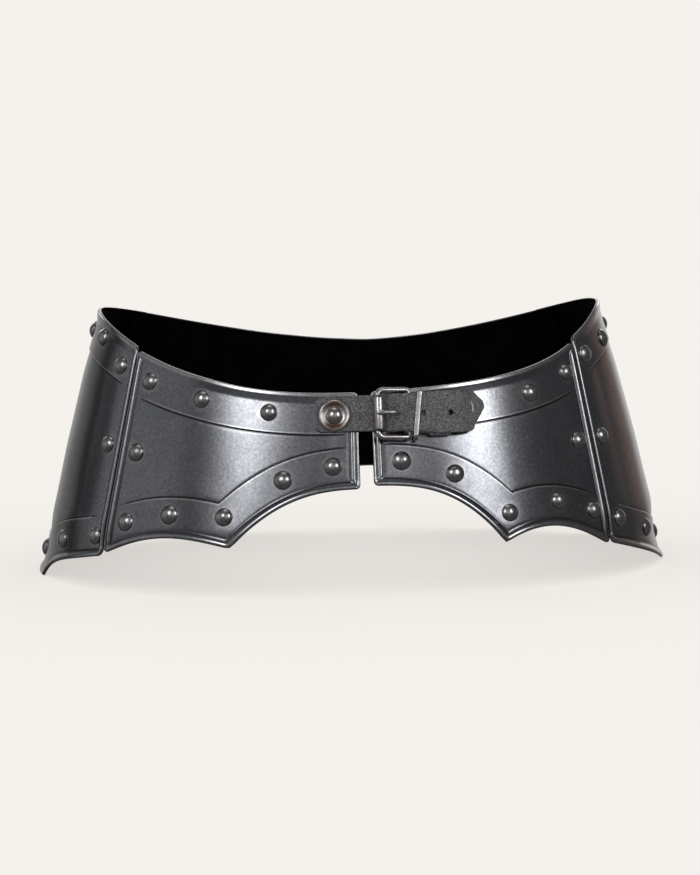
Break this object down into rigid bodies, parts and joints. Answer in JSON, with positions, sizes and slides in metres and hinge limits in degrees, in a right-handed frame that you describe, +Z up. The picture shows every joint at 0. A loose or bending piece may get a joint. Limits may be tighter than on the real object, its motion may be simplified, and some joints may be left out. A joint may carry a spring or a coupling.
{
  "type": "hip armour",
  "caption": "Oval ring of dark polished steel plates worn round the hips, flared towards the foot and closed in front by a leather strap and a roller buckle.",
  "frame": {"origin": "middle of the ring's outline on the surface it stands on", "axes": "+X across the hips, towards the wearer's left; -Y towards the front, where the strap is; +Z up"},
  "size_m": [0.4142, 0.3009, 0.17],
  "materials": {
    "steel": "dark polished, with fine scratches",
    "rivets": "dark polished, slightly browned",
    "buckle": "polished nickel, slightly worn",
    "leather": "black, grained, worn",
    "seam_leather": "dark, plain"
  },
  "bodies": {
    "root": {"back_plate": "steel", "buckle_chape": "leather", "buckle_frame": "buckle", "buckle_prong": "buckle", "buckle_roller": "buckle", "chape_rivet": "rivets", "front_plate_left": "steel", "front_plate_right": "steel", "keeper_loop": "buckle", "rivet_front_left_bottom_1": "rivets", "rivet_front_left_bottom_2": "rivets", "rivet_front_left_bottom_3": "rivets", "rivet_front_left_bottom_4": "rivets", "rivet_front_left_seam_bottom": "rivets", "rivet_front_left_seam_middle": "rivets", "rivet_front_left_seam_top": "rivets", "rivet_front_left_top_1": "rivets", "rivet_front_left_top_2": "rivets", "rivet_front_right_bottom_1": "rivets", "rivet_front_right_bottom_2": "rivets", "rivet_front_right_bottom_3": "rivets", "rivet_front_right_bottom_4": "rivets", "rivet_front_right_seam_bottom": "rivets", "rivet_front_right_seam_middle": "rivets", "rivet_front_right_seam_top": "rivets", "rivet_front_right_top_1": "rivets", "rivet_front_right_top_2": "rivets", "rivet_side_left_bottom_1": "rivets", "rivet_side_left_bottom_2": "rivets", "rivet_side_left_seam_bottom": "rivets", "rivet_side_left_seam_middle": "rivets", "rivet_side_left_seam_top": "rivets", "rivet_side_left_top_1": "rivets", "rivet_side_left_top_2": "rivets", "rivet_side_right_bottom_1": "rivets", "rivet_side_right_bottom_2": "rivets", "rivet_side_right_seam_bottom": "rivets", "rivet_side_right_seam_middle": "rivets", "rivet_side_right_seam_top": "rivets", "rivet_side_right_top_1": "rivets", "rivet_side_right_top_2": "rivets", "seam_leather_back_left": "seam_leather", "seam_leather_back_right": "seam_leather", "seam_leather_front_left": "seam_leather", "seam_leather_front_right": "seam_leather", "side_plate_left": "steel", "side_plate_right": "steel", "strap": "leather", "strap_rivet": "rivets", "strap_washer": "buckle"}
  },
  "joints": []
}
